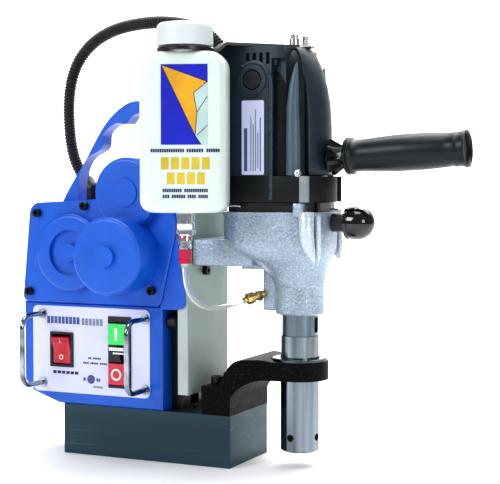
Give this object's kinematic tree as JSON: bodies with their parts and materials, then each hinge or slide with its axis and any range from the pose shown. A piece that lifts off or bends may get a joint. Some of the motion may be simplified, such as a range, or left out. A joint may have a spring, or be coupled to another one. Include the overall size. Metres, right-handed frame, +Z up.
{
  "type": "magnetic drill press",
  "caption": "Portable drill press on an electromagnet foot: a powered slide carries gearbox, spindle, motor, side handle and coolant bottle beside a blue feed and control housing.",
  "frame": {"origin": "centre of the magnet's bottom face", "axes": "+Z up along the spindle, +X from the magnet towards the spindle, -Y towards the operator at the control panel"},
  "size_m": [0.4604, 0.158, 0.4485],
  "materials": {
    "magnet_steel": "dark ground steel",
    "coil_resin": "cast potting resin",
    "copper_wire": "enamelled copper winding",
    "grey_green_paint": "satin grey-green paint",
    "bare_steel": "ground steel",
    "bronze": "machined bronze",
    "satin_steel": "satin turned steel",
    "black_crinkle": "black crinkle powder coat",
    "black_steel": "black oxide",
    "feed_motor_metal": "dark grey paint",
    "blue_paint": "textured blue powder coat",
    "zinc_screw": "zinc-plated steel",
    "black_sheet": "satin black sheet",
    "panel_lavender": "satin printed panel",
    "bright_chrome": "polished chrome",
    "black_plastic": "moulded, fine grain",
    "red_plastic": "moulded red plastic",
    "green_plastic": "moulded green plastic",
    "circuit_board": "circuit board with parts",
    "black_rubber": "corrugated and moulded black rubber",
    "silver_casting": "silver hammered paint on cast aluminium",
    "black_paint": "satin black paint",
    "bearing_steel": "ground bearing steel",
    "lamination_steel": "stacked laminations",
    "motor_plastic": "moulded charcoal nylon, fine grain",
    "grip_plastic": "moulded black nylon grip",
    "gloss_black": "polished black phenolic",
    "milky_plastic": "blow-moulded milky polythene",
    "white_plastic": "moulded white cap",
    "strap_steel": "plated strip steel",
    "brass": "turned brass",
    "clear_tube": "clear soft plastic tube"
  },
  "bodies": {
    "frame": {"magnet_body": "magnet_steel", "magnet_coil": "copper_wire", "magnet_seal": "coil_resin", "column": "grey_green_paint", "gibs": "bronze", "arbor_bracket": "black_crinkle", "support_bush": "satin_steel", "foot_bolts": "black_steel", "feed_bushes": "bronze", "feed_motor": "feed_motor_metal", "feed_housing": "blue_paint", "feed_cover": "blue_paint", "cover_screws": "zinc_screw", "control_box": "blue_paint", "box_back_cover": "black_sheet", "panel_plate": "panel_lavender", "guard_handles": "bright_chrome", "rocker_bezel": "black_plastic", "contactor_body": "black_plastic", "control_board": "circuit_board", "mains_gland": "black_plastic", "grommet": "black_rubber", "conduit_gland": "black_plastic", "conduit": "black_rubber"},
    "head": {"slide": "grey_green_paint", "rack": "bare_steel", "slide_bolts": "black_steel", "gearbox_casting": "silver_casting", "bearing_plate": "black_paint", "head_bearings": "bearing_steel", "motor_housing": "motor_plastic", "motor_shell": "motor_plastic", "motor_band": "motor_plastic", "stator": "lamination_steel", "brush_caps": "black_plastic", "handle_mount": "black_paint", "handle_grip": "grip_plastic", "bottle": "milky_plastic", "bottle_hanger": "strap_steel", "hanger_screw": "zinc_screw", "valve_body": "bright_chrome", "coolant_fitting": "brass", "coolant_tube": "clear_tube", "motor_gland": "black_plastic"},
    "feed_drive": {"feed_shaft": "bare_steel", "feed_gear": "bare_steel", "feed_clutch": "bare_steel"},
    "feed_motor_shaft": {"motor_gear": "bare_steel"},
    "feed_cam": {"cam_gear": "bare_steel"},
    "spindle_unit": {"spindle": "bare_steel", "arbor": "bare_steel", "set_screws": "black_steel"},
    "layshaft": {"intermediate_shaft": "bare_steel"},
    "rotor": {"armature": "lamination_steel"},
    "rocker": {"magnet_rocker": "red_plastic"},
    "start": {"start_button": "green_plastic"},
    "stop": {"stop_button": "red_plastic"},
    "gear_knob": {"selector_knob": "gloss_black"},
    "coolant_tap": {"valve_sleeve": "red_plastic"},
    "cap": {"bottle_cap": "white_plastic"}
  },
  "joints": [
    {"name": "feed_slide", "type": "slide", "parent": "frame", "child": "head", "axis": [0, 0, 1], "range_m": [-0.012, 0.055], "deforming": ["conduit"]},
    {"name": "feed_shaft_spin", "type": "hinge", "parent": "frame", "child": "feed_drive", "pos_m": [-0.0185, 0, 0.206], "axis": [0, -1, 0], "range_deg": [-50, 215]},
    {"name": "feed_motor_spin", "type": "hinge", "parent": "frame", "child": "feed_motor_shaft", "pos_m": [-0.0785, 0, 0.206], "axis": [0, -1, 0], "range_deg": [-355, 80]},
    {"name": "feed_cam_spin", "type": "hinge", "parent": "frame", "child": "feed_cam", "pos_m": [-0.01197, 0, 0.26816], "axis": [0, -1, 0], "range_deg": [-320, 72]},
    {"name": "spindle_spin", "type": "hinge", "parent": "head", "child": "spindle_unit", "pos_m": [0.15, 0, 0.2], "axis": [0, 0, 1], "continuous": true},
    {"name": "layshaft_spin", "type": "hinge", "parent": "head", "child": "layshaft", "pos_m": [0.12865, 0.01925, 0.23], "axis": [0, 0, 1], "continuous": true},
    {"name": "rotor_spin", "type": "hinge", "parent": "head", "child": "rotor", "pos_m": [0.118, 0, 0.3], "axis": [0, 0, 1], "continuous": true},
    {"name": "magnet_rocker_tip", "type": "hinge", "parent": "frame", "child": "rocker", "pos_m": [-0.095, -0.0435, 0.107], "axis": [1, 0, 0], "range_deg": [-18, 0]},
    {"name": "start_press", "type": "slide", "parent": "frame", "child": "start", "axis": [0, 1, 0], "range_m": [0, 0.003], "stiffness_N_per_m": 400, "springref_m": -0.001},
    {"name": "stop_press", "type": "slide", "parent": "frame", "child": "stop", "axis": [0, 1, 0], "range_m": [0, 0.003], "stiffness_N_per_m": 400, "springref_m": -0.001},
    {"name": "gear_knob_turn", "type": "hinge", "parent": "head", "child": "gear_knob", "pos_m": [0.2, 0, 0.2394], "axis": [1, 0, 0], "range_deg": [0, 90]},
    {"name": "coolant_tap_turn", "type": "hinge", "parent": "head", "child": "coolant_tap", "pos_m": [0.066, -0.082, 0.208], "axis": [0, 0, 1], "range_deg": [0, 90]},
    {"name": "cap_turn", "type": "hinge", "parent": "head", "child": "cap", "pos_m": [0.066, -0.082, 0.415], "axis": [0, 0, 1], "continuous": true}
  ],
  "couplings": [
    {"joint": "feed_shaft_spin", "follows": "feed_slide", "rad_per_m": 66.667},
    {"joint": "feed_motor_spin", "follows": "feed_slide", "rad_per_m": -111.11},
    {"joint": "feed_cam_spin", "follows": "feed_slide", "rad_per_m": -100},
    {"joint": "layshaft_spin", "follows": "spindle_spin", "ratio": -2.2857},
    {"joint": "rotor_spin", "follows": "spindle_spin", "ratio": 6.0952}
  ]
}
